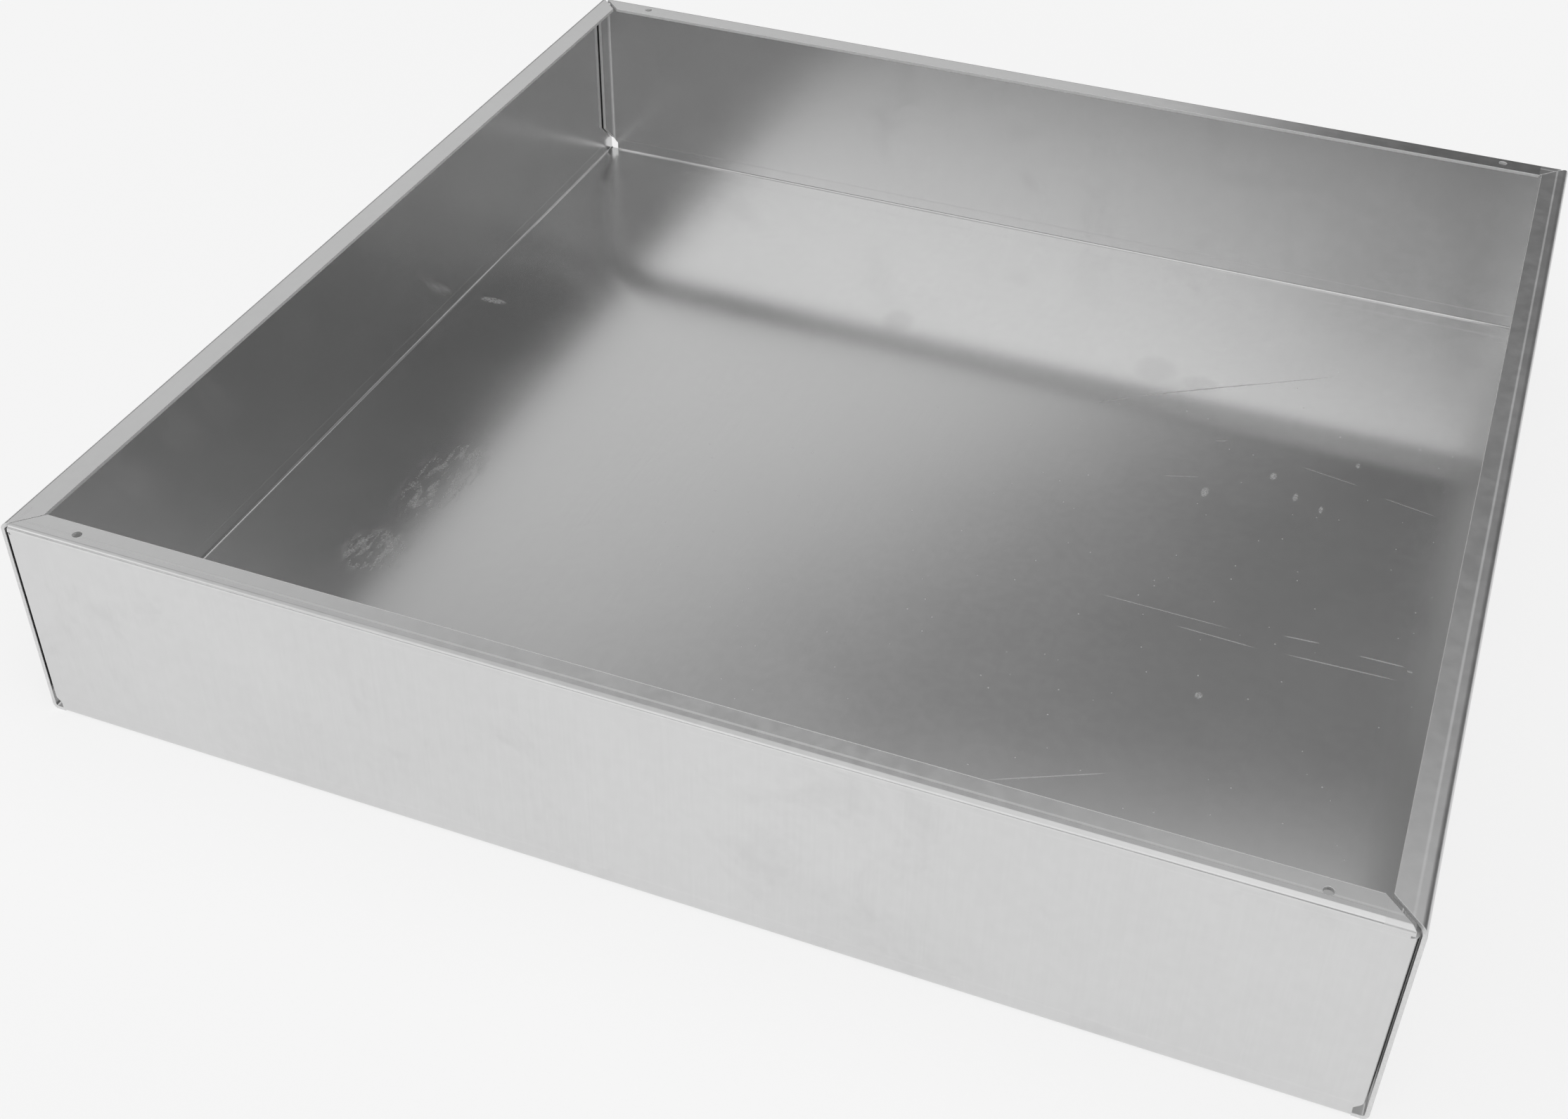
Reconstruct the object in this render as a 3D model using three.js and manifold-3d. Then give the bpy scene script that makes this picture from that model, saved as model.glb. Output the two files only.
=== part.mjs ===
// Shallow square tray folded from one blank of bright sheet metal.
//
// The blank is drawn as its panels, cut at the fold lines: a floor, four walls, a rim flange turned
// inwards on each wall, and a tab at each corner that lies inside the side wall. A fold belongs to
// the panel that it turns up, so neighbouring panels meet face to face at the start of a fold.
//
// Millimetres. The origin is under the middle of the tray, +X is right, +Y is the rear, +Z is up.

import * as THREE from 'three';
import Module from 'manifold-3d';
import { mergeVertices } from 'three/addons/utils/BufferGeometryUtils.js';

const wasm = await Module();
wasm.setup();

// Driving dimensions.
const WIDTH = 500; // over the left and right walls
const DEPTH = 498; // over the front and rear walls
const HEIGHT = 90;
const SHEET = 1.5; // thickness of the metal
const BEND_INSIDE = 1; // inside radius of every fold
const RIM_REACH = 11.5; // rim flange, from the wall's outer face to the free edge
const TAB_REACH = 11.5; // corner tab, from the end wall's outer face to the free edge
const TAB_GAP = 0.5; // air between a corner tab and the side wall behind it
const TAB_TOP_GAP = 1; // air between a corner tab and the fold of the rim above it
const SIDE_SETBACK = 0.75; // side walls stop this far short of the end walls' outer faces
const END_RIM_SETBACK = 3.25; // end flanges start this far in from the side walls' outer faces
const MITRE_SHIFT = 0.8; // the mitres lie this far off the true corner diagonal
const HOLE_DIAMETER = 3.5;
const HOLE_FROM_SIDE = 29.5; // hole centre to the side wall's outer face
const HOLE_FROM_END = 6; // hole centre to the end wall's outer face
const RELIEF_WIDTH = 5.5; // corner relief at the floor, from the side wall's outer face
const RELIEF_HEIGHT = 5.25; // where the relief starts to slope at 45 degrees across wall and tab

// Width of the open mitre at each corner of the rim, as folded.
const MITRE_GAP = { front_left: 0.4, front_right: 2.1, rear_left: 1.6, rear_right: 0.4 };

// Worked out from them.
const BEND_OUTSIDE = BEND_INSIDE + SHEET;
const BEND_LENGTH = (BEND_INSIDE + SHEET / 2) * Math.PI / 2; // along the middle of the sheet
const TAB_LINE = SHEET + TAB_GAP + BEND_OUTSIDE; // start of the tab fold, from the side's outer face
const TAB_FOOT = RELIEF_HEIGHT + RELIEF_WIDTH - TAB_LINE; // relief height where the tab fold starts
const OVERCUT = 1; // how far a cutting solid runs past the sheet

const ARC_STEPS = 3; // Shape.absarc makes twice this many segments in a quarter turn
const HOLE_SEGMENTS = 24;

const X = new THREE.Vector3(1, 0, 0);
const Y = new THREE.Vector3(0, 1, 0);
const Z = new THREE.Vector3(0, 0, 1);

// The four sides, each drawn in a group turned about Z, so that its own +X points outwards.
// ends names the corners at its own -Y and +Y.
const SIDES = [
  { name: 'right', turn: 0, reach: WIDTH / 2, ends: ['front_right', 'rear_right'] },
  { name: 'rear', turn: 90, reach: DEPTH / 2, ends: ['rear_right', 'rear_left'] },
  { name: 'left', turn: 180, reach: WIDTH / 2, ends: ['rear_left', 'front_left'] },
  { name: 'front', turn: 270, reach: DEPTH / 2, ends: ['front_left', 'front_right'] },
];

function isEnd(side) {
  return side.name === 'front' || side.name === 'rear';
}

// An outline drawn along axes s and t, extruded to both sides of their plane.
function extruded(outline, s, t, length) {
  const geometry = new THREE.ExtrudeGeometry(outline, {
    depth: length,
    bevelEnabled: false,
    curveSegments: ARC_STEPS,
  });
  geometry.translate(0, 0, -length / 2);
  const across = new THREE.Vector3().crossVectors(s, t);
  geometry.applyMatrix4(new THREE.Matrix4().makeBasis(s, t, across));
  return geometry;
}

function polygon(points) {
  return new THREE.Shape(points.map(([s, t]) => new THREE.Vector2(s, t)));
}

// Section of a fold and the flat that follows it. The fold's centre is the origin, it starts facing
// -t and turns to face +s, and the flat then runs along +t.
function foldSection(flat) {
  const section = new THREE.Shape();
  section.moveTo(0, -BEND_OUTSIDE);
  section.absarc(0, 0, BEND_OUTSIDE, -Math.PI / 2, 0, false);
  section.lineTo(BEND_OUTSIDE, flat);
  section.lineTo(BEND_INSIDE, flat);
  section.lineTo(BEND_INSIDE, 0);
  section.absarc(0, 0, BEND_INSIDE, 0, -Math.PI / 2, true);
  section.closePath();
  return section;
}

function toSolid(geometry) {
  const bare = geometry.clone();
  bare.deleteAttribute('normal');
  bare.deleteAttribute('uv');
  const merged = mergeVertices(bare, 1e-5);
  const mesh = new wasm.Mesh({
    numProp: 3,
    vertProperties: new Float32Array(merged.attributes.position.array),
    triVerts: new Uint32Array(merged.index.array),
  });
  return new wasm.Manifold(mesh);
}

function toGeometry(solid) {
  const mesh = solid.getMesh();
  const geometry = new THREE.BufferGeometry();
  geometry.setAttribute('position', new THREE.BufferAttribute(mesh.vertProperties, 3));
  geometry.setIndex(new THREE.BufferAttribute(mesh.triVerts, 1));
  geometry.computeVertexNormals();
  return geometry;
}

function cut(geometry, tools) {
  const body = tools.reduce((solid, tool) => solid.subtract(toSolid(tool)), toSolid(geometry));
  return toGeometry(body);
}

function sheetMetal() {
  return new THREE.MeshStandardMaterial({ color: 0xb9bcbe, roughness: 0.38, metalness: 1 });
}

function piece(name, geometry, position) {
  const mesh = new THREE.Mesh(geometry, sheetMetal());
  mesh.name = name;
  mesh.position.copy(position);
  return mesh;
}

// The floor, with a small lip at each corner that runs out under the end wall.
function floorPanel() {
  const x = WIDTH / 2 - BEND_OUTSIDE;
  const y = DEPTH / 2 - BEND_OUTSIDE;
  const lipX = WIDTH / 2 - RELIEF_WIDTH;
  const lipY = DEPTH / 2 - SIDE_SETBACK;
  const outline = polygon([
    [-x, -lipY], [-lipX, -lipY], [-lipX, -y], [lipX, -y], [lipX, -lipY], [x, -lipY],
    [x, lipY], [lipX, lipY], [lipX, y], [-lipX, y], [-lipX, lipY], [-x, lipY],
  ]);
  return piece('floor_panel', extruded(outline, X, Y, SHEET), new THREE.Vector3(0, 0, SHEET / 2));
}

// What the corner relief takes off the foot of an end wall, at one of its ends.
function wallRelief(end) {
  const corner = WIDTH / 2 - RELIEF_WIDTH;
  const past = WIDTH / 2 - TAB_LINE + OVERCUT;
  const rise = past - corner;
  const outline = polygon([
    [end * corner, -BEND_OUTSIDE - OVERCUT],
    [end * past, -BEND_OUTSIDE - OVERCUT],
    [end * past, RELIEF_HEIGHT - BEND_OUTSIDE + rise],
    [end * corner, RELIEF_HEIGHT - BEND_OUTSIDE],
  ]);
  return extruded(outline, Y, Z, 4 * BEND_OUTSIDE);
}

function wall(side) {
  const flat = HEIGHT - 2 * BEND_OUTSIDE;
  const length = isEnd(side) ? WIDTH - 2 * TAB_LINE : DEPTH - 2 * SIDE_SETBACK;
  const whole = extruded(foldSection(flat), X, Z, length);
  const geometry = isEnd(side) ? cut(whole, [wallRelief(-1), wallRelief(1)]) : whole;
  const position = new THREE.Vector3(side.reach - BEND_OUTSIDE, 0, BEND_OUTSIDE);
  return piece(`${side.name}_wall`, geometry, position);
}

// What the mitre takes off one end of a rim flange. Both flanges at a corner keep to their own side
// of a 45 degree line, with the corner's gap between them.
function mitre(side, end, gap) {
  const run = (isEnd(side) ? WIDTH : DEPTH) / 2;
  const back = gap / Math.SQRT2 + (isEnd(side) ? MITRE_SHIFT : -MITRE_SHIFT);
  const outer = -OVERCUT;
  const inner = RIM_REACH + OVERCUT;
  const outline = polygon([
    [BEND_OUTSIDE - outer, end * (run - outer - back)],
    [BEND_OUTSIDE - inner, end * (run - inner - back)],
    [BEND_OUTSIDE - inner, end * (run + 2 * OVERCUT)],
    [BEND_OUTSIDE - outer, end * (run + 2 * OVERCUT)],
  ]);
  return extruded(outline, X, Y, 4 * BEND_OUTSIDE);
}

function rimHole(end) {
  const geometry = new THREE.CylinderGeometry(HOLE_DIAMETER / 2, HOLE_DIAMETER / 2, 4 * SHEET, HOLE_SEGMENTS);
  geometry.rotateX(Math.PI / 2);
  geometry.translate(BEND_OUTSIDE - HOLE_FROM_END, end * (WIDTH / 2 - HOLE_FROM_SIDE), BEND_INSIDE);
  return geometry;
}

// A rim flange with the fold that turns it inwards from the top of its wall.
function rimFlange(side) {
  const flat = RIM_REACH - BEND_OUTSIDE;
  const length = isEnd(side) ? WIDTH - 2 * END_RIM_SETBACK : DEPTH - 2 * SIDE_SETBACK;
  const tools = [-1, 1].map((end, i) => mitre(side, end, MITRE_GAP[side.ends[i]]));
  if (isEnd(side)) {
    tools.push(rimHole(-1), rimHole(1));
  }
  const geometry = cut(extruded(foldSection(flat), Z, X.clone().negate(), length), tools);
  const position = new THREE.Vector3(side.reach - BEND_OUTSIDE, 0, HEIGHT - BEND_OUTSIDE);
  return piece(`${side.name}_rim_flange`, geometry, position);
}

// A corner tab with the fold that turns it back from the end of its wall. The relief slopes across
// the fold and on across the tab, as one straight cut in the flat blank.
function cornerTab(side, end, corner) {
  const foot = TAB_FOOT;
  const head = HEIGHT - BEND_OUTSIDE - TAB_TOP_GAP;
  const middle = (foot + head) / 2;
  const flat = TAB_REACH - BEND_OUTSIDE;
  const foldTop = foot + BEND_LENGTH - middle;
  const slope = polygon([
    [BEND_OUTSIDE + OVERCUT, foot - middle - OVERCUT * BEND_LENGTH / BEND_OUTSIDE],
    [0, foldTop],
    [-flat - OVERCUT, foldTop + flat + OVERCUT],
    [-flat - OVERCUT, foot - middle - 2 * OVERCUT],
    [BEND_OUTSIDE + OVERCUT, foot - middle - 2 * OVERCUT],
  ]);
  const across = Y.clone().multiplyScalar(end);
  const whole = extruded(foldSection(flat), across, X.clone().negate(), head - foot);
  const geometry = cut(whole, [extruded(slope, X, Z, 4 * BEND_OUTSIDE)]);
  const position = new THREE.Vector3(side.reach - BEND_OUTSIDE, end * (WIDTH / 2 - TAB_LINE), middle);
  return piece(`corner_tab_${corner}`, geometry, position);
}

const tray = new THREE.Group();
tray.add(floorPanel());
for (const side of SIDES) {
  const group = new THREE.Group();
  group.rotation.z = THREE.MathUtils.degToRad(side.turn);
  group.add(wall(side), rimFlange(side));
  if (isEnd(side)) {
    side.ends.forEach((corner, i) => group.add(cornerTab(side, i === 0 ? -1 : 1, corner)));
  }
  tray.add(group);
}

export default tray;
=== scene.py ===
"""Looks for a shallow square tray folded from one blank of bright sheet metal.

Every panel of the blank is its own piece. A panel is cut out flat, with its sheared edges slightly
rounded, and then folded: the fold and the flat that follows it come from one formula, so
neighbouring panels meet, and shade, as one continuous sheet.

Metres. The origin is under the middle of the tray, +X is right, +Y is the rear, +Z is up.
"""

import math

import bmesh
import bpy
from mathutils import Matrix, Vector
from mathutils.geometry import delaunay_2d_cdt


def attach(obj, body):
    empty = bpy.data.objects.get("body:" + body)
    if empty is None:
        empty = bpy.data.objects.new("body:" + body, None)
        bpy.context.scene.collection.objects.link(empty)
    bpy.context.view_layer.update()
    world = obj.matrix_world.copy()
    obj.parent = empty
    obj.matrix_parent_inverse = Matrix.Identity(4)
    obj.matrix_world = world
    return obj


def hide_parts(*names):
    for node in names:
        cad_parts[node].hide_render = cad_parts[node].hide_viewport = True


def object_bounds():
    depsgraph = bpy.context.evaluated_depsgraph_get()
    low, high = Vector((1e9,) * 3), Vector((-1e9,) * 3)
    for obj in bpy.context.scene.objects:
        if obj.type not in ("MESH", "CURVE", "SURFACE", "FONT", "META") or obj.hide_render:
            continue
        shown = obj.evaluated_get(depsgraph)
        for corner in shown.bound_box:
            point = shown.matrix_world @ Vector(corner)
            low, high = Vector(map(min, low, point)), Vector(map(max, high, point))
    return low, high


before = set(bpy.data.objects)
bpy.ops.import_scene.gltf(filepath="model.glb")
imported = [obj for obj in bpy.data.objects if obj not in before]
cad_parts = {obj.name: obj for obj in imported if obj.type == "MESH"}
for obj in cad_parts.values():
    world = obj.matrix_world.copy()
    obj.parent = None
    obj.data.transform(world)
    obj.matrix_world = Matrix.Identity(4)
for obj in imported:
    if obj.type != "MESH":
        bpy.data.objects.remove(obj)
cad_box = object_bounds()

MM = 0.001

# Size of the tray, from the frame.
LOW, HIGH = cad_box
WIDTH = HIGH.x - LOW.x
DEPTH = HIGH.y - LOW.y
HEIGHT = HIGH.z - LOW.z

# The sheet and its folds.
SHEET = 1.5 * MM
HALF = SHEET / 2
BEND_INSIDE = 1.0 * MM
BEND_OUTSIDE = BEND_INSIDE + SHEET
BEND_MIDDLE = BEND_INSIDE + HALF
BEND_LENGTH = BEND_MIDDLE * math.pi / 2  # along the middle of the sheet
BEND_STEPS = 16
GRID = 12 * MM  # spacing of the mesh lines across the flats
EDGE_ROUND = 0.15 * MM  # rounding of a sheared edge
EDGE_STEPS = 2

# The blank's outline, as in the CAD model.
RIM_REACH = 11.5 * MM
TAB_REACH = 11.5 * MM
TAB_GAP = 0.5 * MM
TAB_TOP_GAP = 1.0 * MM
SIDE_SETBACK = 0.75 * MM
END_RIM_SETBACK = 3.25 * MM
MITRE_SHIFT = 0.8 * MM
MITRE_GAP = {
    "front_left": 0.4 * MM,
    "front_right": 2.1 * MM,
    "rear_left": 1.6 * MM,
    "rear_right": 0.4 * MM,
}
HOLE_RADIUS = 1.75 * MM
HOLE_FROM_SIDE = 29.5 * MM
HOLE_FROM_END = 6.0 * MM
HOLE_SEGMENTS = 40
RELIEF_WIDTH = 5.5 * MM
RELIEF_HEIGHT = 5.25 * MM
TAB_LINE = SHEET + TAB_GAP + BEND_OUTSIDE

FLOOR_SAG = 1.2 * MM  # how far the middle of the floor sags

X = Vector((1, 0, 0))
Y = Vector((0, 1, 0))
Z = Vector((0, 0, 1))


# ---------------------------------------------------------------------------------------------
# Folding
# ---------------------------------------------------------------------------------------------


class Floor:
    """The floor panel, which isn't folded but sags a little between its folds."""

    def __init__(self, half_width, half_depth):
        self.half_width, self.half_depth = half_width, half_depth

    def place(self, s, t, h):
        u, v = s / self.half_width, t / self.half_depth
        sag = FLOOR_SAG * max(1 - u * u, 0) * max(1 - v * v, 0)
        return Vector((s, t, HALF + h - sag))

    def turn(self, s, t, direction):
        u, v = s / self.half_width, t / self.half_depth
        slope_s = 2 * FLOOR_SAG * u / self.half_width * max(1 - v * v, 0)
        slope_t = 2 * FLOOR_SAG * v / self.half_depth * max(1 - u * u, 0)
        lean = Vector((-slope_s, -slope_t, 0)) * direction.z
        return direction + lean


class Fold:
    """A panel that starts with a fold: t runs forward, round the fold, and then on along up.

    h is the distance from the middle of the sheet, towards the outside of the fold.
    """

    def __init__(self, origin, along, forward, up):
        self.origin, self.along, self.forward, self.up = origin, along, forward, up

    def axes(self, t):
        angle = min(max(t / BEND_MIDDLE, 0), math.pi / 2)
        onward = math.cos(angle) * self.forward + math.sin(angle) * self.up
        outward = math.sin(angle) * self.forward - math.cos(angle) * self.up
        return onward, outward

    def place(self, s, t, h):
        onward, outward = self.axes(t)
        centre = self.origin + s * self.along + BEND_MIDDLE * self.up
        past = max(t - BEND_LENGTH, 0)
        return centre + (BEND_MIDDLE + h) * outward + past * onward

    def turn(self, s, t, direction):
        onward, outward = self.axes(t)
        return direction.x * self.along + direction.y * onward + direction.z * outward


# ---------------------------------------------------------------------------------------------
# Cutting a panel out flat
# ---------------------------------------------------------------------------------------------


def inset(outline, sheared, distance):
    """The outline moved in by a distance along its sheared edges. It runs anticlockwise."""
    moved = []
    count = len(outline)
    for i in range(count):
        before, here, after = outline[i - 1], outline[i], outline[(i + 1) % count]
        n1 = (here - before).normalized().orthogonal()
        n2 = (after - here).normalized().orthogonal()
        d1 = distance if sheared[i - 1] else 0
        d2 = distance if sheared[i] else 0
        cross = n1.cross(n2)
        if abs(cross) < 1e-6:
            moved.append(here + n1 * min(d1, d2))
        else:
            moved.append(here + Vector((d1 * n2.y - d2 * n1.y, n1.x * d2 - n2.x * d1)) / cross)
    return moved


def circle(centre, radius):
    """A round hole, clockwise, so that the metal lies on its left."""
    points = []
    for i in range(HOLE_SEGMENTS):
        angle = -2 * math.pi * i / HOLE_SEGMENTS
        points.append(Vector(centre) + radius * Vector((math.cos(angle), math.sin(angle))))
    return points


def edge_profile():
    """Inset and height of each ring down a sheared edge, from one face of the sheet to the other."""
    rounded = []
    for i in range(EDGE_STEPS + 1):
        angle = math.pi / 2 * (1 - i / EDGE_STEPS)
        rounded.append((EDGE_ROUND * (1 - math.cos(angle)), HALF - EDGE_ROUND * (1 - math.sin(angle))))
    return rounded + [(step, -height) for step, height in reversed(rounded)]


def cut_out(outline, sheared, holes):
    """A flat solid with rounded sheared edges, as a bmesh in s, t and h."""
    bm = bmesh.new()
    loops = [(outline, sheared)]
    loops += [(circle(centre, HOLE_RADIUS), [True] * HOLE_SEGMENTS) for centre in holes]
    profile = edge_profile()
    first, last = [], []
    for points, cuts in loops:
        rings = []
        for distance, height in profile:
            rings.append([bm.verts.new((p.x, p.y, height)) for p in inset(points, cuts, distance)])
        first.append(rings[0])
        last.append(rings[-1])
        for upper, lower in zip(rings, rings[1:]):
            for i in range(len(points)):
                j = (i + 1) % len(points)
                bm.faces.new((upper[i], lower[i], lower[j], upper[j]))
    fill(bm, first, upwards=True)
    fill(bm, last, upwards=False)
    return bm


def fill(bm, loops, upwards):
    """Fills the metal between an outline and its holes with faces, on the vertices already there."""
    verts, owners, edges = [], [], []
    for number, loop in enumerate(loops):
        start = len(verts)
        verts += loop
        owners += [number] * len(loop)
        edges += [(start + i, start + (i + 1) % len(loop)) for i in range(len(loop))]
    flat = [Vector((v.co.x, v.co.y)) for v in verts]
    faces = delaunay_2d_cdt(flat, edges, [], 5, 1e-9)[2]
    for face in faces:
        touched = {owners[i] for i in face}
        is_in_a_hole = len(touched) == 1 and 0 not in touched
        if not is_in_a_hole:
            corners = [verts[i] for i in face]
            bm.faces.new(corners if upwards else corners[::-1])


def slice_up(bm, s_lines, t_lines):
    """Cuts the solid along mesh lines, so that it can bend."""
    for axis, lines in ((X, s_lines), (Y, t_lines)):
        for value in lines:
            everything = bm.verts[:] + bm.edges[:] + bm.faces[:]
            bmesh.ops.bisect_plane(bm, geom=everything, dist=1e-8, plane_co=axis * value, plane_no=axis)


def spaced(low, high, spacing):
    """Evenly spaced lines strictly between two values."""
    count = max(1, round((high - low) / spacing))
    return [low + (high - low) * i / count for i in range(1, count)]


def bend_lines():
    return [BEND_LENGTH * i / BEND_STEPS for i in range(1, BEND_STEPS + 1)]


# ---------------------------------------------------------------------------------------------
# From a flat panel to a piece
# ---------------------------------------------------------------------------------------------


def corner_normal(face, vert, holes):
    """Shading normal of one corner of a face while the panel is still flat."""
    if abs(face.normal.z) > 0.999:
        return Vector((0, 0, math.copysign(1, face.normal.z)))
    outward = Vector((face.normal.x, face.normal.y, 0)).normalized()
    for centre in holes:
        reach = Vector((vert.co.x - centre[0], vert.co.y - centre[1], 0))
        if reach.length < HOLE_RADIUS + 2 * EDGE_ROUND:
            outward = -reach.normalized()
    lift = 0
    if abs(face.normal.z) > 0.001:
        lift = min(max((abs(vert.co.z) - HALF + EDGE_ROUND) / EDGE_ROUND, 0), 1)
    return outward * math.sqrt(1 - lift * lift) + Z * math.copysign(lift, vert.co.z)


def build(name, shape, outline, sheared, materials, s_lines, t_lines, holes=()):
    """Cuts a panel out flat, folds it and makes it an object. materials are the sheet and its edges."""
    bm = cut_out([Vector(p) for p in outline], sheared, holes)
    slice_up(bm, s_lines, t_lines)
    bm.normal_update()
    shading = []
    for face in bm.faces:
        face.smooth = True
        face.material_index = 0 if abs(face.normal.z) > 0.999 else 1
        for loop in face.loops:
            normal = corner_normal(face, loop.vert, holes)
            shading.append(shape.turn(loop.vert.co.x, loop.vert.co.y, normal).normalized())
    for vert in bm.verts:
        vert.co = shape.place(*vert.co)
    mesh = bpy.data.meshes.new(name)
    bm.to_mesh(mesh)
    bm.free()
    mesh.normals_split_custom_set(shading)
    for material in materials:
        mesh.materials.append(material)
    piece = bpy.data.objects.new(name, mesh)
    bpy.context.scene.collection.objects.link(piece)
    return piece


def stand_in(piece, node):
    """Puts a piece in the place of its CAD node."""
    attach(piece, "root")
    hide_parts(node)


# ---------------------------------------------------------------------------------------------
# The panels
# ---------------------------------------------------------------------------------------------


class Side:
    """One side of the tray. along runs anticlockwise round the tray, seen from above."""

    def __init__(self, name, out, corners):
        self.name, self.out, self.corners = name, out, corners
        self.is_end = name in ("front", "rear")
        self.reach = (DEPTH if self.is_end else WIDTH) / 2
        self.run = (WIDTH if self.is_end else DEPTH) / 2
        self.along = Z.cross(out)


SIDES = [
    Side("right", X, ("front_right", "rear_right")),
    Side("rear", Y, ("rear_right", "rear_left")),
    Side("left", -X, ("rear_left", "front_left")),
    Side("front", -Y, ("front_left", "front_right")),
]


def floor_panel(materials):
    """The floor, with a small lip at each corner that runs out under the end wall."""
    x = WIDTH / 2 - BEND_OUTSIDE
    y = DEPTH / 2 - BEND_OUTSIDE
    lip_x = WIDTH / 2 - RELIEF_WIDTH
    lip_y = DEPTH / 2 - SIDE_SETBACK
    outline = [
        (-x, -lip_y), (-lip_x, -lip_y), (-lip_x, -y), (lip_x, -y), (lip_x, -lip_y), (x, -lip_y),
        (x, lip_y), (lip_x, lip_y), (lip_x, y), (-lip_x, y), (-lip_x, lip_y), (-x, lip_y),
    ]
    sheared = [True, True, False, True, True, False] * 2
    lines_x = spaced(-x, x, GRID)
    lines_y = spaced(-y, y, GRID)
    shape = Floor(x, y)
    piece = build("floor_panel_sheet", shape, outline, sheared, materials, lines_x, lines_y)
    stand_in(piece, "floor_panel")


def wall(side, materials):
    """A wall with the fold at its foot. A wall with tabs has a relief at each end of its foot."""
    top = BEND_LENGTH + HEIGHT - 2 * BEND_OUTSIDE
    if side.is_end:
        foot = side.run - RELIEF_WIDTH
        end = side.run - TAB_LINE
        kink = BEND_LENGTH + RELIEF_HEIGHT - BEND_OUTSIDE
        tab_foot = kink + end - foot
        tab_head = top - TAB_TOP_GAP
        outline = [
            (-foot, 0), (foot, 0), (foot, kink), (end, tab_foot), (end, tab_head),
            (end, top), (-end, top), (-end, tab_head), (-end, tab_foot), (-foot, kink),
        ]
        sheared = [False, True, True, False, True, False, True, False, True, True]
    else:
        end = side.run - SIDE_SETBACK
        outline = [(-end, 0), (end, 0), (end, top), (-end, top)]
        sheared = [False, True, False, True]
    origin = side.out * (side.reach - BEND_OUTSIDE) + Z * HALF
    shape = Fold(origin, side.along, side.out, Z)
    t_lines = bend_lines() + spaced(BEND_LENGTH, top, GRID)
    s_lines = spaced(-end, end, GRID)
    piece = build(f"{side.name}_wall_sheet", shape, outline, sheared, materials, s_lines, t_lines)
    stand_in(piece, f"{side.name}_wall")


def rim_flange(side, materials):
    """A rim flange with the fold that turns it inwards, mitred at both ends."""
    free_edge = BEND_LENGTH + RIM_REACH - BEND_OUTSIDE
    setback = END_RIM_SETBACK if side.is_end else SIDE_SETBACK
    wall_end = side.run - (TAB_LINE if side.is_end else SIDE_SETBACK)
    shift = MITRE_SHIFT if side.is_end else -MITRE_SHIFT
    ends = []
    for corner in side.corners:
        back = shift + MITRE_GAP[corner] / math.sqrt(2)
        start = BEND_LENGTH - BEND_OUTSIDE + setback - back
        ends.append((start, side.run - RIM_REACH - back))
    (near_start, near_tip), (far_start, far_tip) = ends
    edge = side.run - setback
    outline = [(edge, 0), (edge, far_start), (far_tip, free_edge)]
    outline += [(-near_tip, free_edge), (-edge, near_start), (-edge, 0)]
    sheared = [True, True, True, True, True, False]
    if side.is_end:
        outline += [(-wall_end, 0), (wall_end, 0)]
        sheared = [True, True, True, True, True, True, False, True]
    holes = []
    if side.is_end:
        hole_t = BEND_LENGTH + HOLE_FROM_END - BEND_OUTSIDE
        holes = [(end * (side.run - HOLE_FROM_SIDE), hole_t) for end in (-1, 1)]
    origin = side.out * (side.reach - HALF) + Z * (HEIGHT - BEND_OUTSIDE)
    shape = Fold(origin, side.along, Z, -side.out)
    s_lines = spaced(-edge, edge, GRID)
    name = f"{side.name}_rim_flange"
    piece = build(f"{name}_sheet", shape, outline, sheared, materials, s_lines, bend_lines(), holes)
    stand_in(piece, name)


def mirrored(outline, sheared):
    """The outline with s turned round, still anticlockwise."""
    points = [(-s, t) for s, t in reversed(outline)]
    return points, sheared[-2::-1] + sheared[-1:]


def corner_tab(side, end, corner, materials):
    """A tab that turns back from the end of an end wall. Its foot slopes at 45 degrees."""
    foot = RELIEF_HEIGHT + RELIEF_WIDTH - TAB_LINE
    head = HEIGHT - BEND_OUTSIDE - TAB_TOP_GAP
    free_edge = BEND_LENGTH + TAB_REACH - BEND_OUTSIDE
    outline = [(foot, 0), (head, 0), (head, free_edge), (foot + free_edge, free_edge)]
    sheared = [False, True, True, True]
    if end > 0:
        outline, sheared = mirrored(outline, sheared)
    origin = side.out * (side.reach - HALF) + side.along * end * (side.run - TAB_LINE)
    shape = Fold(origin, Z * -end, side.along * end, -side.out)
    s_lines = spaced(-head, head, GRID)
    piece = build(f"corner_tab_{corner}_sheet", shape, outline, sheared, materials, s_lines, bend_lines())
    stand_in(piece, f"corner_tab_{corner}")


# ---------------------------------------------------------------------------------------------
# Material nodes
# ---------------------------------------------------------------------------------------------


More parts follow.
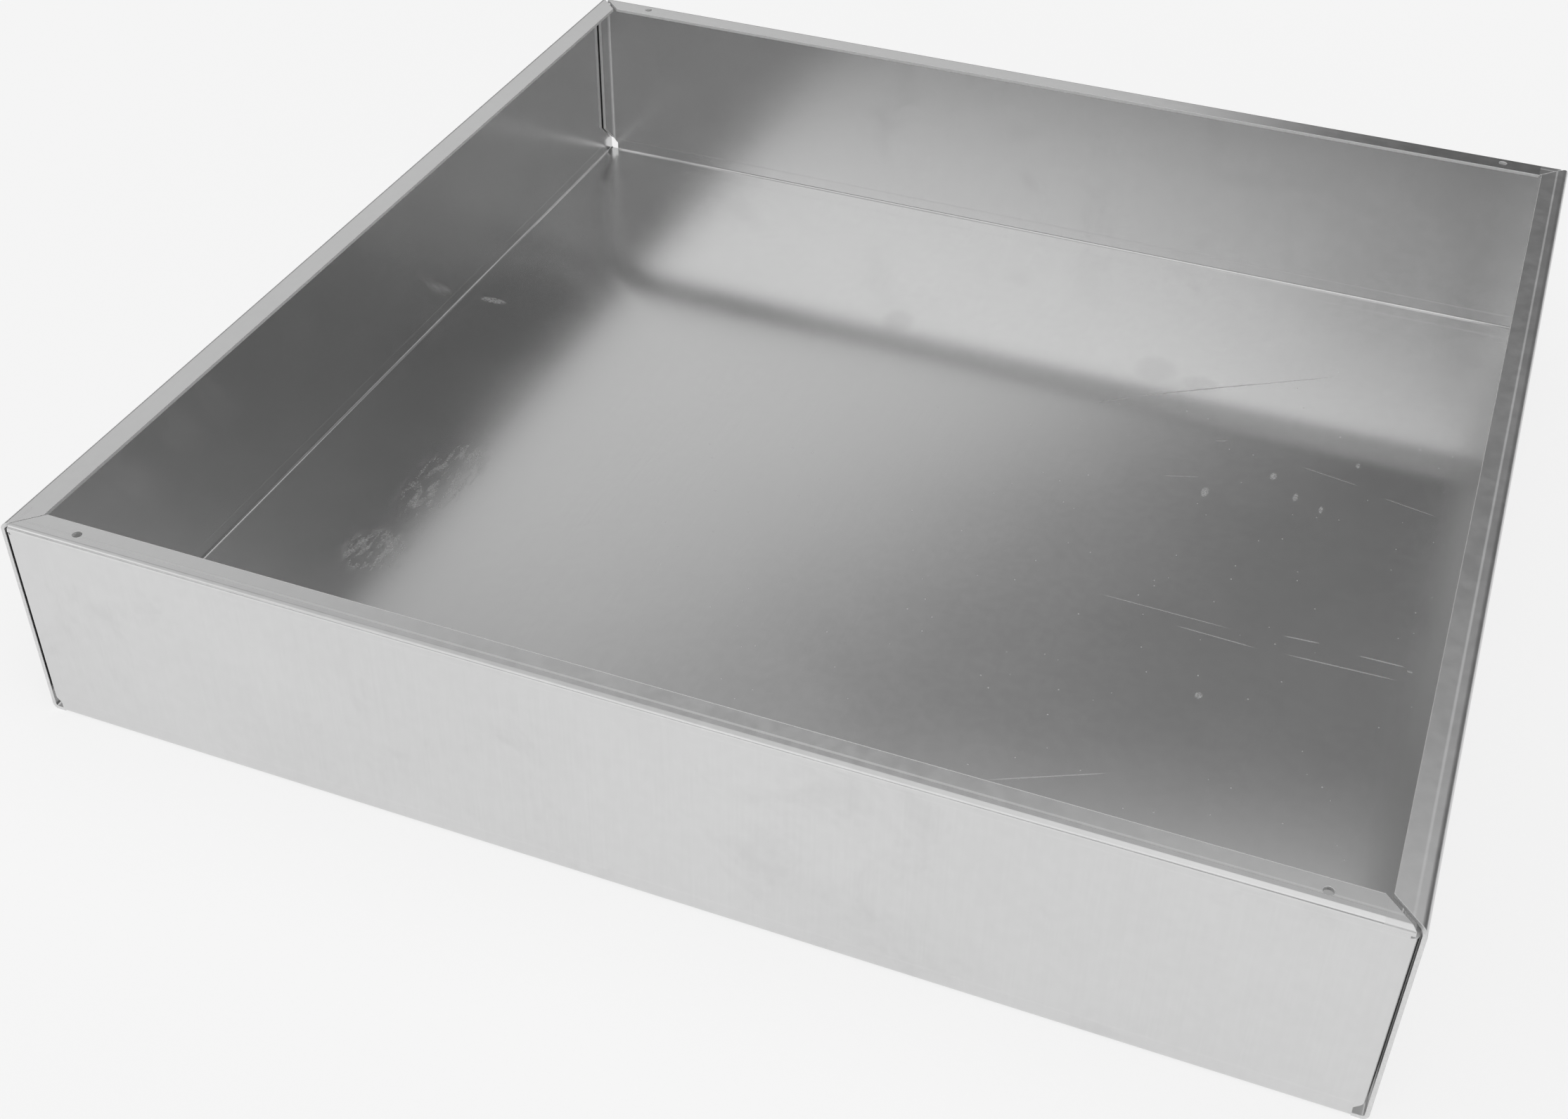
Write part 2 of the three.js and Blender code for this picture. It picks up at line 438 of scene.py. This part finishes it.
class Nodes:
    """A node tree, with a short way to make and join its nodes."""

    def __init__(self, tree):
        self.tree = tree
        tree.nodes.clear()

    def add(self, kind, inputs=(), **settings):
        """Makes a node. inputs gives each socket, by name or number, a value or another socket."""
        node = self.tree.nodes.new(kind)
        for name, value in settings.items():
            setattr(node, name, value)
        for name, value in dict(inputs).items():
            if isinstance(value, bpy.types.NodeSocket):
                self.tree.links.new(value, node.inputs[name])
            else:
                node.inputs[name].default_value = value
        return node

    def maths(self, operation, *values):
        return self.add("ShaderNodeMath", dict(enumerate(values)), operation=operation).outputs[0]

    def product(self, *values):
        result = values[0]
        for value in values[1:]:
            result = self.maths("MULTIPLY", result, value)
        return result

    def total(self, *values):
        result = values[0]
        for value in values[1:]:
            result = self.maths("ADD", result, value)
        return result

    def ramp(self, value, low, high, out_low=0.0, out_high=1.0):
        """Smoothly from out_low to out_high as value goes from low to high."""
        inputs = {"Value": value, "From Min": low, "From Max": high, "To Min": out_low, "To Max": out_high}
        node = self.add("ShaderNodeMapRange", inputs, interpolation_type="SMOOTHSTEP")
        return node.outputs["Result"]

    def window(self, value, low, high, soft):
        """1 between low and high and 0 outside, over soft edges."""
        rising = self.ramp(value, low - soft, low + soft)
        falling = self.ramp(value, high - soft, high + soft, 1.0, 0.0)
        return self.product(rising, falling)

    def noise(self, place, scale, detail=2.0, roughness=0.5, distortion=0.0):
        inputs = {
            "Vector": place, "Scale": scale, "Detail": detail, "Roughness": roughness,
            "Distortion": distortion,
        }
        return self.add("ShaderNodeTexNoise", inputs).outputs["Fac"]

    def stretched(self, place, factors):
        """The place, scaled along each axis, so that a pattern runs long where a factor is small."""
        inputs = {0: place, 1: factors}
        return self.add("ShaderNodeVectorMath", inputs, operation="MULTIPLY").outputs["Vector"]

    def parts(self, place):
        return self.add("ShaderNodeSeparateXYZ", {0: place}).outputs

    def spot(self, x, y, centre, radii, soft=0.3):
        """1 inside an ellipse, falling to 0 at its edge. Sizes are in millimetres."""
        across = self.maths("DIVIDE", self.maths("SUBTRACT", x, centre[0] * MM), radii[0] * MM)
        along = self.maths("DIVIDE", self.maths("SUBTRACT", y, centre[1] * MM), radii[1] * MM)
        square = self.total(self.product(across, across), self.product(along, along))
        return self.ramp(square, 1.0 - soft, 1.0 + soft, 1.0, 0.0)

    def scratch(self, x, y, start, end, width):
        """A straight line between two points, tapering at both ends. Sizes are in millimetres."""
        run = Vector(end) - Vector(start)
        length = run.length * MM
        run.normalize()
        dx = self.maths("SUBTRACT", x, start[0] * MM)
        dy = self.maths("SUBTRACT", y, start[1] * MM)
        along = self.total(self.product(dx, run.x), self.product(dy, run.y))
        off = self.maths("ABSOLUTE", self.total(self.product(dx, -run.y), self.product(dy, run.x)))
        within = self.window(along, length * 0.1, length * 0.75, length * 0.12)
        return self.product(self.ramp(off, 0.0, width * MM, 1.0, 0.0), within)

    def highest(self, values):
        result = values[0]
        for value in values[1:]:
            result = self.maths("MAXIMUM", result, value)
        return result

    def specks(self, place, spacing, radius, share):
        """Scattered round specks: spacing and radius in millimetres, share of the cells that have one."""
        inputs = {"Vector": place, "Scale": 1000.0 / spacing, "Randomness": 1.0}
        cells = self.add("ShaderNodeTexVoronoi", inputs)
        chance = self.add("ShaderNodeSeparateColor", {0: cells.outputs["Color"]}).outputs["Red"]
        reach = self.ramp(cells.outputs["Distance"], 0.5 * radius / spacing, radius / spacing, 1.0, 0.0)
        return self.product(reach, self.maths("LESS_THAN", chance, share))


class Finish:
    """What a metal surface varies by: brightness, roughness, height and dry residue lying on it."""

    def __init__(self, shade, roughness, height, residue=None):
        self.shade, self.roughness, self.height, self.residue = shade, roughness, height, residue


def metal(name, finish_of, across=None):
    """Bare metal. finish_of makes its Finish from the nodes and the place on the object.

    A rolled sheet blurs what it reflects most in the direction across its grain, if one is given.
    """
    material = bpy.data.materials.new(name)
    material.use_nodes = True
    nodes = Nodes(material.node_tree)
    place = nodes.add("ShaderNodeTexCoord").outputs["Object"]
    finish = finish_of(nodes, place)
    colour = nodes.add("ShaderNodeCombineColor", dict.fromkeys(("Red", "Green", "Blue"), finish.shade))
    bump = nodes.add("ShaderNodeBump", {"Height": finish.height, "Distance": 1.0, "Strength": 1.0})
    inputs = {
        "Base Color": colour.outputs[0], "Roughness": finish.roughness, "Normal": bump.outputs[0],
        "Metallic": 1.0,
    }
    if finish.residue:
        inputs["Metallic"] = nodes.ramp(finish.residue, 0.0, 1.0, 1.0, 0.25)
    if across:
        tangent = nodes.add("ShaderNodeCombineXYZ", dict(enumerate(across)))
        inputs.update({"Anisotropic": GRAIN_SPREAD, "Tangent": tangent.outputs[0]})
    shader = nodes.add("ShaderNodeBsdfPrincipled", inputs)
    output = nodes.add("ShaderNodeOutputMaterial")
    material.node_tree.links.new(shader.outputs[0], output.inputs["Surface"])
    return material


BRIGHTNESS = 0.78  # share of the light that the clean sheet reflects
ROUGHNESS = 0.17
GRAIN_SPREAD = 0.88  # how much more the sheet blurs across its grain than along it
GRAIN_FINE = 1100.0  # changes of the grain per metre, across it and along it
GRAIN_LONG = 25.0
GRAIN_ACROSS_X = (GRAIN_FINE, GRAIN_LONG, GRAIN_LONG)
GRAIN_ACROSS_Z = (GRAIN_LONG, GRAIN_LONG, GRAIN_FINE)
GRAIN_NONE = (300.0, 300.0, 300.0)


def rolled_sheet(nodes, place, grain):
    """Mill finish: faint clouds, and fine grain along the rolling direction.

    grain holds how many times a metre the grain changes along X, Y and Z.
    """
    clouds = nodes.noise(place, 14.0, detail=4.0, roughness=0.55)
    mottle = nodes.noise(place, 220.0, detail=3.0)
    lines = nodes.noise(nodes.stretched(place, grain), 1.0, detail=3.0, roughness=0.6)
    cloudy = nodes.ramp(clouds, 0.3, 0.7, -1.0, 1.0)
    mottled = nodes.ramp(mottle, 0.3, 0.7, -1.0, 1.0)
    lined = nodes.ramp(lines, 0.3, 0.7, -1.0, 1.0)
    variation = nodes.total(nodes.product(cloudy, 0.012), nodes.product(mottled, 0.006))
    shade = nodes.total(variation, nodes.product(lined, 0.005), BRIGHTNESS)
    rough = nodes.total(nodes.product(cloudy, 0.006), nodes.product(mottled, 0.003), ROUGHNESS)
    height = nodes.total(nodes.product(lines, 5e-7), nodes.product(mottle, 5e-7))
    return Finish(shade, rough, height)


# Marks on the floor, in millimetres from the middle of the tray. A scratch has its two ends and its
# half width; the others have a centre and the half widths along X and Y.
SCRATCHES = [
    ((86, 119), (150, 159), 0.55), ((120, 140), (182, 178), 0.35), ((70, 107), (85, 118), 0.4),
    ((106, -29), (172, -31), 0.3),
    ((140, -37), (180, -39), 0.35), ((184, -38), (238, -37), 0.4), ((182, -27), (200, -26), 0.45),
    ((212, -28), (235, -28), 0.45), ((94, -151), (144, -126), 0.35), ((168, 92), (200, 86), 0.3),
    ((206, 82), (234, 76), 0.3), ((112, 62), (130, 68), 0.3), ((128, 97), (134, 100), 0.5),
]
FLAKES = [
    ((158, 80), (1.4, 2.6)), ((132, 57), (1.5, 3.4)), ((170, 68), (1.0, 2.8)), ((182, 63), (0.8, 2.6)),
    ((192, 102), (0.9, 1.8)), ((158, -75), (1.4, 1.8)), ((233, -30), (1.2, 0.8)), ((-233, 77), (6.5, 2.2)),
]
STAINS = [((-185, -119), (14, 15)), ((-184, -64), (14, 32))]
SMUDGES = [((-40, 138), (7, 9)), ((89, 145), (9, 10)), ((112, 140), (8, 6))]


def floor_finish(nodes, place):
    """The floor: rolled sheet with scratches, smudges, dust, flakes and dried splashes."""
    sheet = rolled_sheet(nodes, place, GRAIN_ACROSS_X)
    x, y = nodes.parts(place)[:2]

    scored = nodes.highest([nodes.scratch(x, y, *mark) for mark in SCRATCHES])

    splash = nodes.highest([nodes.spot(x, y, *stain, soft=0.5) for stain in STAINS])
    runs = nodes.noise(nodes.stretched(place, (1.0, 0.25, 1.0)), 400.0, detail=3.0, distortion=0.4)
    outlines = nodes.window(runs, 0.52, 0.535, 0.012)
    patches = nodes.ramp(runs, 0.52, 0.60)
    grains = nodes.ramp(nodes.noise(place, 1100.0, detail=2.0), 0.40, 0.62, 0.35, 1.0)
    crust = nodes.total(nodes.product(outlines, 0.45), nodes.product(patches, 0.30))
    dried = nodes.product(splash, grains, crust)
    flakes = nodes.highest([nodes.spot(x, y, *flake, soft=0.7) for flake in FLAKES])
    flakes = nodes.product(flakes, grains, 0.5)
    dusty = nodes.spot(x, y, (130, -30), (190, 190), soft=0.8)
    dust = nodes.product(nodes.specks(place, 5.0, 0.38, 0.35), nodes.total(dusty, 0.1), 0.8)
    residue = nodes.highest([dried, flakes, dust])

    smudge = nodes.highest([nodes.spot(x, y, *smudge, soft=0.9) for smudge in SMUDGES])
    shade = nodes.total(sheet.shade, nodes.product(smudge, -0.06), nodes.product(scored, 0.20))
    rough = nodes.total(sheet.roughness, nodes.product(scored, 0.40), nodes.product(residue, 0.45))
    height = nodes.total(sheet.height, nodes.product(scored, -6e-6), nodes.product(residue, 1e-5))
    return Finish(shade, rough, height, residue)


WALL_PRESS_LINES = (7.4, HEIGHT / MM - 4.2)  # the folding tool's lines, in millimetres above the underside
WALL_PRESS_WIDTH = 0.5


def wall_finish(nodes, place, grain):
    """A wall: rolled sheet, with a few faint smudges and the pressed lines of the folding tool."""
    sheet = rolled_sheet(nodes, place, grain)
    z = nodes.parts(place)["Z"]
    smudges = nodes.noise(place, 22.0, detail=5.0, roughness=0.65, distortion=0.6)
    smudged = nodes.ramp(smudges, 0.52, 0.76)
    pressed = nodes.highest([
        nodes.window(z, line * MM, (line + WALL_PRESS_WIDTH) * MM, WALL_PRESS_WIDTH / 2 * MM)
        for line in WALL_PRESS_LINES
    ])
    shade = nodes.total(sheet.shade, nodes.product(smudged, -0.045), nodes.product(pressed, 0.02))
    rough = nodes.total(sheet.roughness, nodes.product(pressed, 0.06), nodes.product(smudged, 0.02))
    return Finish(shade, rough, sheet.height)


def side_wall_finish(nodes, place):
    return wall_finish(nodes, place, GRAIN_ACROSS_Z)


def end_wall_finish(nodes, place):
    return wall_finish(nodes, place, GRAIN_ACROSS_X)


PRESS_LINE = 4.9 * MM  # the folding tool's line on the rim, from the outer face


def rim_finish(nodes, place):
    """The rim: mottled by handling, with the pressed line of the folding tool along it, partly lightened
    as a painted highlight, and a painted highlight along the free edge of the front rim.
    """
    sheet = rolled_sheet(nodes, place, GRAIN_NONE)
    x, y = nodes.parts(place)[:2]
    to_side = nodes.maths("SUBTRACT", WIDTH / 2, nodes.maths("ABSOLUTE", x))
    to_end = nodes.maths("SUBTRACT", DEPTH / 2, nodes.maths("ABSOLUTE", y))
    inwards = nodes.maths("MINIMUM", to_side, to_end)
    pressed = nodes.window(inwards, PRESS_LINE - 0.4 * MM, PRESS_LINE + 0.4 * MM, 0.3 * MM)
    at_front = nodes.maths("LESS_THAN", y, MM - DEPTH / 2 + RIM_REACH)
    at_right = nodes.maths("GREATER_THAN", x, WIDTH / 2 - RIM_REACH - MM)
    # The pressed line is a real tool mark. Its lightening, full only on the front and right rims, is a
    # painted highlight.
    pressed = nodes.product(pressed, nodes.highest([at_front, at_right, 0.15]))
    # Painted highlight: a thin lighter line along the free edge of the front rim, where its rounded edge
    # catches light.
    painted_edge_highlight = nodes.ramp(inwards, RIM_REACH - 0.5 * MM, RIM_REACH - 0.3 * MM)
    painted_edge_highlight = nodes.product(painted_edge_highlight, at_front)
    blotches = nodes.noise(place, 160.0, detail=5.0, roughness=0.6)
    blotched = nodes.ramp(blotches, 0.3, 0.7, -1.0, 1.0)
    # Lightens the pressed line and the front rim's free edge: painted highlights on a real tool mark and
    # on a rounded edge.
    tool_marks_and_painted_highlights = nodes.total(nodes.product(pressed, 0.06), nodes.product(painted_edge_highlight, 0.15))
    shade = nodes.total(sheet.shade, nodes.product(blotched, 0.012), tool_marks_and_painted_highlights)
    scuffs = nodes.total(nodes.product(pressed, 0.16), nodes.product(painted_edge_highlight, 0.25))
    scuffs = nodes.total(scuffs, nodes.product(at_right, 0.09))
    rough = nodes.total(sheet.roughness, nodes.product(blotched, 0.02), scuffs, 0.05)
    return Finish(shade, rough, nodes.total(sheet.height, nodes.product(pressed, -5e-6)))


def edge_finish(nodes, place):
    """A sheared edge: brighter and rougher than the sheet, and finely speckled."""
    streaks = nodes.noise(place, 1500.0, detail=3.0, roughness=0.7)
    shade = nodes.ramp(streaks, 0.3, 0.7, 0.80, 0.90)
    rough = nodes.ramp(streaks, 0.3, 0.7, 0.60, 0.75)
    return Finish(shade, rough, nodes.product(streaks, 8e-6))


# ---------------------------------------------------------------------------------------------
# Studio
# ---------------------------------------------------------------------------------------------


# The lights, as soft windows in the direction that they shine from. Azimuth 0 is the rear (+Y) and
# 90 the right (+X); soft and fade are the half widths of the upright and level edges. A light leans
# when its upright edges move that many degrees for each degree above LEAN_FROM.
LIGHTS = [
    {"azimuth": -153.8, "spread": 21.2, "soft": 9.0, "lean": 2.2, "low": 25.3, "high": 37.0, "fade": 0.8,
     "radiance": 0.94},
    {"azimuth": 165.0, "spread": 9.5, "soft": 1.0, "lean": 1.0, "low": 25.0, "high": 46.0, "fade": 3.0,
     "radiance": 0.42},
    {"azimuth": 180.0, "spread": 75.0, "soft": 12.0, "lean": 0.0, "low": 37.0, "high": 50.0, "fade": 3.0,
     "radiance": 0.65},
    {"azimuth": 180.0, "spread": 75.0, "soft": 12.0, "lean": 0.0, "low": -10.0, "high": 19.0, "fade": 3.0,
     "radiance": 0.78},
    {"azimuth": 53.0, "spread": 13.0, "soft": 4.0, "lean": 0.0, "low": 37.0, "high": 60.0, "fade": 3.5,
     "radiance": 0.28},
    {"azimuth": -95.0, "spread": 30.0, "soft": 10.0, "lean": 0.0, "low": 5.0, "high": 50.0, "fade": 8.0,
     "radiance": 0.35},
    {"azimuth": 105.0, "spread": 30.0, "soft": 10.0, "lean": 0.0, "low": 5.0, "high": 50.0, "fade": 8.0,
     "radiance": 0.35},
]
LEAN_FROM = 30.0
REAR_LIGHT = {"left": -56.0, "right": -6.5, "soft": 3.0, "low": 16.0, "high": 42.6, "fade": 1.5,
              "radiance": 0.535}
REAR_SLANT = 1.9  # the rear light's right edge leans back this many degrees for each degree up
REAR_SLANT_START = 33.0
REAR_DIMMING = (34.0, 43.0, 1.0, 0.57)  # it dims between these elevations, from and to these shares

# The rest of the room, each part as from and to elevations and the brightness at both.
ROOM = (30.0, 42.0, 0.108, 0.185)
CEILING = (42.2, 50.0, 0.0, 1.0)
CEILING_ACROSS = (-0.33, 0.0, 0.30, 0.62)  # the ceiling is brighter to the right; this runs over X
ZENITH = (50.0, 60.0, 0.0, 0.12)


def soft_light(nodes, azimuth, elevation, light):
    """Brightness of one soft light: a window in azimuth and elevation, in degrees."""
    inputs = {0: azimuth, 1: light["azimuth"] + 180.0, 2: light["azimuth"] - 180.0}
    wrapped = nodes.add("ShaderNodeMath", inputs, operation="WRAP").outputs[0]
    turned = nodes.maths("SUBTRACT", wrapped, light["azimuth"])
    over = nodes.maths("MAXIMUM", nodes.maths("SUBTRACT", elevation, LEAN_FROM), 0.0)
    leaned = nodes.total(turned, nodes.product(over, light["lean"]))
    across = nodes.window(leaned, -light["spread"], light["spread"], light["soft"])
    up = nodes.window(elevation, light["low"], light["high"], light["fade"])
    return nodes.product(across, up, light["radiance"])


def rear_light(nodes, azimuth, elevation):
    """The large soft light behind the tray, with its upper right corner cut off at a slant."""
    over = nodes.maths("MAXIMUM", nodes.maths("SUBTRACT", elevation, REAR_SLANT_START), 0.0)
    edge = nodes.total(azimuth, nodes.product(over, REAR_SLANT))
    across = nodes.window(edge, REAR_LIGHT["left"], REAR_LIGHT["right"], REAR_LIGHT["soft"])
    up = nodes.window(elevation, REAR_LIGHT["low"], REAR_LIGHT["high"], REAR_LIGHT["fade"])
    return nodes.product(across, up, nodes.ramp(elevation, *REAR_DIMMING), REAR_LIGHT["radiance"])


def studio():
    """Light from all round. The camera sees a plain pale backdrop instead of the lights."""
    scene = bpy.context.scene
    scene.view_settings.view_transform = "Standard"
    scene.view_settings.look = "None"
    world = bpy.data.worlds.new("studio")
    scene.world = world
    world.use_nodes = True
    nodes = Nodes(world.node_tree)
    direction = nodes.add("ShaderNodeTexCoord").outputs["Generated"]
    parts = nodes.add("ShaderNodeSeparateXYZ", {0: direction}).outputs
    to_degrees = 180 / math.pi
    azimuth = nodes.product(nodes.maths("ARCTAN2", parts["X"], parts["Y"]), to_degrees)
    elevation = nodes.product(nodes.maths("ARCSINE", parts["Z"]), to_degrees)
    room = nodes.ramp(elevation, *ROOM)
    ceiling = nodes.product(nodes.ramp(elevation, *CEILING), nodes.ramp(parts["X"], *CEILING_ACROSS))
    zenith = nodes.ramp(elevation, *ZENITH)
    lights = [soft_light(nodes, azimuth, elevation, light) for light in LIGHTS]
    light = nodes.total(room, ceiling, zenith, rear_light(nodes, azimuth, elevation), *lights)
    background = nodes.add("ShaderNodeBackground", {"Strength": light, "Color": (1, 1, 1, 1)})
    backdrop = nodes.add("ShaderNodeBackground", {"Strength": BACKDROP, "Color": (1, 1, 1, 1)})
    seen = nodes.add("ShaderNodeLightPath").outputs["Is Camera Ray"]
    mix = nodes.add("ShaderNodeMixShader", {0: seen, 1: background.outputs[0], 2: backdrop.outputs[0]})
    output = nodes.add("ShaderNodeOutputWorld")
    world.node_tree.links.new(mix.outputs[0], output.inputs["Surface"])


BACKDROP = 0.90  # brightness that the camera sees behind the tray
FLOOR_COLOUR = 0.35
FLOOR_GLOW = 0.56
FLOOR_GLOW_SEEN = 0.68
STAGE_SIZE = 200 * WIDTH
STAGE_DROP = 0.05 * MM


def stage_floor():
    """The plain pale floor that the tray stands on. It glows a little, more so to the camera."""
    material = bpy.data.materials.new("pale_floor")
    material.use_nodes = True
    nodes = Nodes(material.node_tree)
    diffuse = nodes.add("ShaderNodeBsdfDiffuse", {"Color": (FLOOR_COLOUR,) * 3 + (1,)})
    seen = nodes.add("ShaderNodeLightPath").outputs["Is Camera Ray"]
    strength = nodes.ramp(seen, 0.0, 1.0, FLOOR_GLOW, FLOOR_GLOW_SEEN)
    glow = nodes.add("ShaderNodeEmission", {"Strength": strength})
    shader = nodes.add("ShaderNodeAddShader", {0: diffuse.outputs[0], 1: glow.outputs[0]})
    output = nodes.add("ShaderNodeOutputMaterial")
    material.node_tree.links.new(shader.outputs[0], output.inputs["Surface"])
    mesh = bpy.data.meshes.new("stage_floor")
    r = STAGE_SIZE / 2
    z = LOW.z - STAGE_DROP
    mesh.from_pydata([(-r, -r, z), (r, -r, z), (r, r, z), (-r, r, z)], [], [(0, 1, 2, 3)])
    mesh.materials.append(material)
    floor = bpy.data.objects.new("stage_floor", mesh)
    bpy.context.scene.collection.objects.link(floor)


CAMERA_PLACE = Vector((0.422, -1.3344, 1.0622))  # in tray widths, from under the middle of the tray
CAMERA_AZIMUTH = 20.96
CAMERA_ELEVATION = 38.87
CAMERA_ROLL = 0.90
CAMERA_LENS = 45.69
CAMERA_SHIFT = (-0.0010, -0.0053)


def camera():
    data = bpy.data.cameras.new("camera")
    data.sensor_width = 36.0
    data.lens = CAMERA_LENS
    data.shift_x, data.shift_y = CAMERA_SHIFT
    data.clip_start = 0.05 * WIDTH
    data.clip_end = STAGE_SIZE
    item = bpy.data.objects.new("camera", data)
    bpy.context.scene.collection.objects.link(item)
    azimuth, elevation = math.radians(CAMERA_AZIMUTH), math.radians(CAMERA_ELEVATION)
    turn = Matrix.Rotation(azimuth, 4, "Z")
    tilt = Matrix.Rotation(math.pi / 2 - elevation, 4, "X")
    roll = Matrix.Rotation(math.radians(CAMERA_ROLL), 4, "Z")
    item.matrix_world = Matrix.Translation(CAMERA_PLACE * WIDTH) @ turn @ tilt @ roll
    bpy.context.scene.camera = item


def tray():
    edge = metal("sheared_edge", edge_finish)
    rim_metal = metal("rim_metal", rim_finish)
    side_wall_metal = metal("side_wall_metal", side_wall_finish, Z)
    end_wall_metal = metal("end_wall_metal", end_wall_finish, X)
    floor_panel((metal("floor_metal", floor_finish, X), edge))
    for side in SIDES:
        wall_metal = end_wall_metal if side.is_end else side_wall_metal
        wall(side, (wall_metal, edge))
        rim_flange(side, (rim_metal, edge))
        if side.is_end:
            for end, corner in zip((-1, 1), side.corners):
                corner_tab(side, end, corner, (side_wall_metal, edge))


studio()
stage_floor()
camera()
tray()
